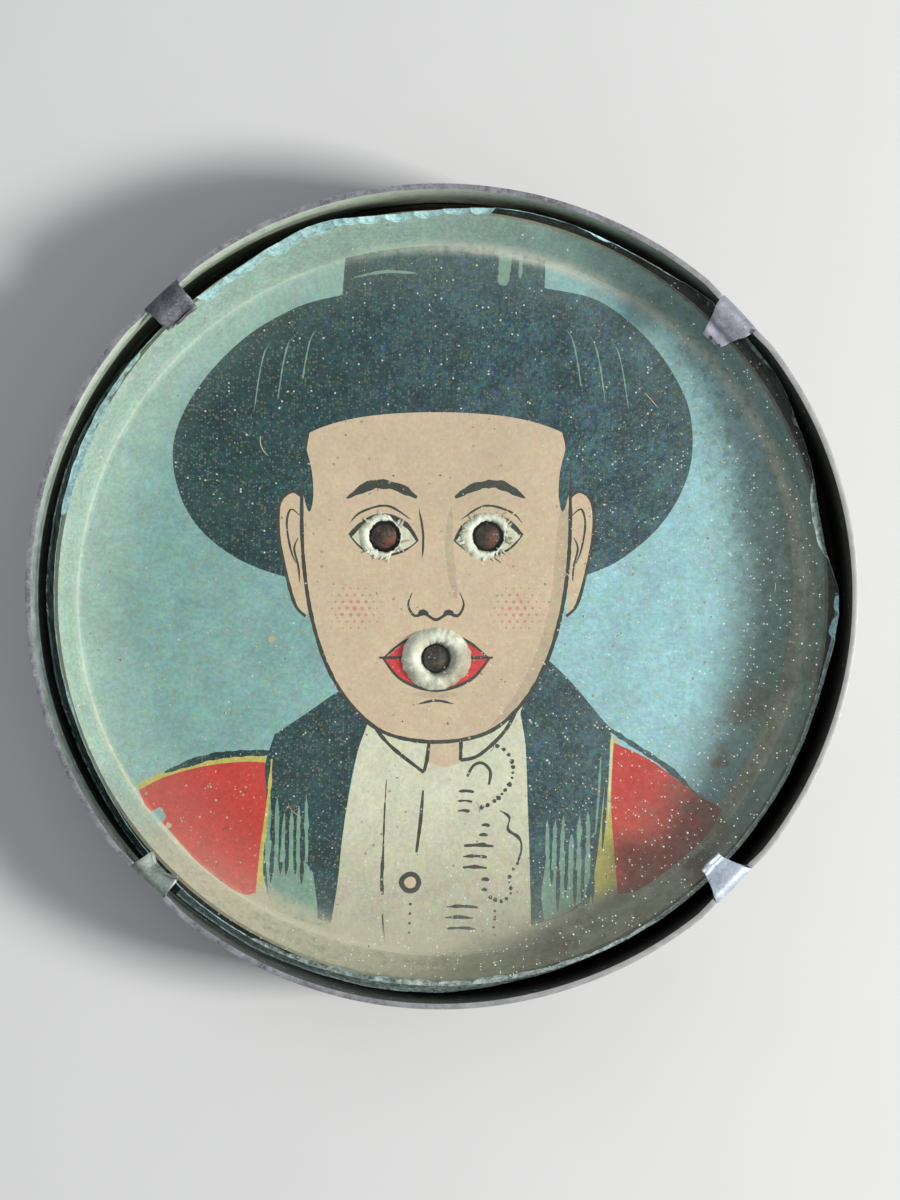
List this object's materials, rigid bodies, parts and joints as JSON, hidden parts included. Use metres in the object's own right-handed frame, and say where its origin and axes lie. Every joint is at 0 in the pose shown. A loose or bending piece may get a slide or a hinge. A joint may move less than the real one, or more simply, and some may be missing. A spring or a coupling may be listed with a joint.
{
  "type": "dexterity puzzle",
  "caption": "Round pocket dexterity puzzle: tin case with tabbed glass front, printed card with ball pockets for eyes and mouth, loose shot balls and a mirror back.",
  "frame": {"origin": "centre of the back face, on the surface that the puzzle lies on", "axes": "+Z out through the front glass, +Y towards the top of the picture, +X to the picture's right"},
  "size_m": [0.06, 0.06, 0.0092],
  "materials": {
    "tin": "tarnished tinplate, bright where worn",
    "front_glass": "old hand-nibbled window glass, dusty",
    "printed_card": "colour litho print, aged and dusty",
    "brown_board": "raw brown strawboard",
    "mirror": "aged silvering with spots",
    "rusty_shot": "rusted steel shot"
  },
  "bodies": {
    "case": {"tin_case": "tin", "front_glass": "front_glass", "printed_card": "printed_card", "pocket_board": "brown_board", "backing_board": "brown_board", "back_mirror": "mirror"},
    "left_eye_ball": {"ball_left_eye": "rusty_shot"},
    "right_eye_ball": {"ball_right_eye": "rusty_shot"},
    "mouth_ball": {"ball_mouth": "rusty_shot"}
  },
  "joints": [
    {"name": "left_eye_ball_lift", "type": "slide", "parent": "case", "child": "left_eye_ball", "axis": [0, 0, 1], "range_m": [0, 0.0018]},
    {"name": "right_eye_ball_lift", "type": "slide", "parent": "case", "child": "right_eye_ball", "axis": [0, 0, 1], "range_m": [0, 0.0018]},
    {"name": "mouth_ball_lift", "type": "slide", "parent": "case", "child": "mouth_ball", "axis": [0, 0, 1], "range_m": [0, 0.0018]}
  ]
}
